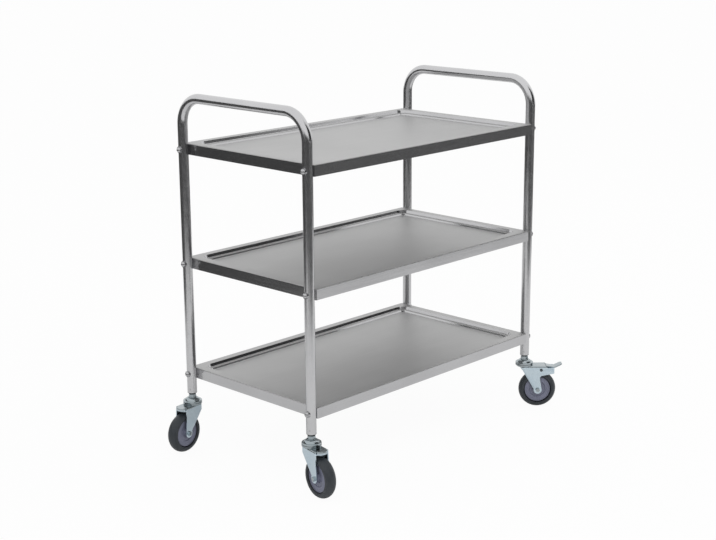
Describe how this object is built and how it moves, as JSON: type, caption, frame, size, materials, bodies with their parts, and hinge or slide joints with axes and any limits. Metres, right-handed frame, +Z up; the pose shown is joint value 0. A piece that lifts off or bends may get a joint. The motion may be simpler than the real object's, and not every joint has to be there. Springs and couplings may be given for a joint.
{
  "type": "serving cart",
  "caption": "Stainless steel serving cart: pressed trays stacked between bent tube end frames with push handles, bolted at the legs and rolling on swivel casters with foot brakes.",
  "frame": {"origin": "on the floor, under the middle of the cart as it stands", "axes": "+X along the trays, towards the end with the braked casters; +Y across the trays; +Z up"},
  "size_m": [0.9728, 0.587, 0.9],
  "materials": {
    "stainless": "satin",
    "bright_fastener": "polished",
    "zinc": "bright zinc",
    "insert_plastic": "matte",
    "hub_plastic": "matte",
    "tyre": "matte"
  },
  "bodies": {
    "cart": {"left_end_frame": "stainless", "right_end_frame": "stainless", "bottom_tray": "stainless", "middle_tray": "stainless", "top_tray": "stainless", "tray_bolts": "bright_fastener", "tray_bolt_washers": "bright_fastener", "tray_curved_spacers": "bright_fastener", "tray_bolt_nuts": "bright_fastener", "leg_inserts": "insert_plastic", "leg_pins": "bright_fastener", "caster_lock_nuts": "zinc", "caster_lock_washers": "zinc", "front_left_stem": "zinc", "front_left_swivel_cap": "zinc", "rear_left_stem": "zinc", "rear_left_swivel_cap": "zinc", "front_right_stem": "zinc", "front_right_swivel_cap": "zinc", "rear_right_stem": "zinc", "rear_right_swivel_cap": "zinc"},
    "front_left_caster": {"front_left_fork": "zinc", "front_left_swivel_balls": "bright_fastener", "front_left_axle_bolt": "zinc", "front_left_axle_nut": "zinc", "front_left_axle_bush": "zinc"},
    "front_left_wheel": {"front_left_wheel_hub": "hub_plastic", "front_left_tyre": "tyre"},
    "rear_left_caster": {"rear_left_fork": "zinc", "rear_left_swivel_balls": "bright_fastener", "rear_left_axle_bolt": "zinc", "rear_left_axle_nut": "zinc", "rear_left_axle_bush": "zinc"},
    "rear_left_wheel": {"rear_left_wheel_hub": "hub_plastic", "rear_left_tyre": "tyre"},
    "front_right_caster": {"front_right_fork": "zinc", "front_right_swivel_balls": "bright_fastener", "front_right_axle_bolt": "zinc", "front_right_axle_nut": "zinc", "front_right_axle_bush": "zinc", "front_right_brake_pin": "zinc"},
    "front_right_wheel": {"front_right_wheel_hub": "hub_plastic", "front_right_tyre": "tyre"},
    "front_right_pedal": {"front_right_brake_pedal": "zinc"},
    "rear_right_caster": {"rear_right_fork": "zinc", "rear_right_swivel_balls": "bright_fastener", "rear_right_axle_bolt": "zinc", "rear_right_axle_nut": "zinc", "rear_right_axle_bush": "zinc", "rear_right_brake_pin": "zinc"},
    "rear_right_wheel": {"rear_right_wheel_hub": "hub_plastic", "rear_right_tyre": "tyre"},
    "rear_right_pedal": {"rear_right_brake_pedal": "zinc"}
  },
  "joints": [
    {"name": "front_left_swivel", "type": "hinge", "parent": "cart", "child": "front_left_caster", "pos_m": [-0.4045, -0.213, 0.12], "axis": [0, 0, 1], "continuous": true},
    {"name": "front_left_wheel_spin", "type": "hinge", "parent": "front_left_caster", "child": "front_left_wheel", "pos_m": [-0.41137, -0.24834, 0.05], "axis": [0.9816, -0.1908, 0], "continuous": true},
    {"name": "rear_left_swivel", "type": "hinge", "parent": "cart", "child": "rear_left_caster", "pos_m": [-0.4045, 0.213, 0.12], "axis": [0, 0, 1], "continuous": true},
    {"name": "rear_left_wheel_spin", "type": "hinge", "parent": "rear_left_caster", "child": "rear_left_wheel", "pos_m": [-0.44015, 0.20799, 0.05], "axis": [0.1392, -0.9903, 0], "continuous": true},
    {"name": "front_right_swivel", "type": "hinge", "parent": "cart", "child": "front_right_caster", "pos_m": [0.4045, -0.213, 0.12], "axis": [0, 0, 1], "continuous": true},
    {"name": "front_right_wheel_spin", "type": "hinge", "parent": "front_right_caster", "child": "front_right_wheel", "pos_m": [0.42951, -0.2389, 0.05], "axis": [0.7193, 0.6947, 0], "continuous": true},
    {"name": "front_right_brake", "type": "hinge", "parent": "front_right_caster", "child": "front_right_pedal", "pos_m": [0.43541, -0.24501, 0.106], "axis": [0.7193, 0.6947, 0], "range_deg": [0, 12]},
    {"name": "rear_right_swivel", "type": "hinge", "parent": "cart", "child": "rear_right_caster", "pos_m": [0.4045, 0.213, 0.12], "axis": [0, 0, 1], "continuous": true},
    {"name": "rear_right_wheel_spin", "type": "hinge", "parent": "rear_right_caster", "child": "rear_right_wheel", "pos_m": [0.4304, 0.23801, 0.05], "axis": [-0.6947, 0.7193, 0], "continuous": true},
    {"name": "rear_right_brake", "type": "hinge", "parent": "rear_right_caster", "child": "rear_right_pedal", "pos_m": [0.43651, 0.24391, 0.106], "axis": [-0.6947, 0.7193, 0], "range_deg": [0, 12]}
  ]
}
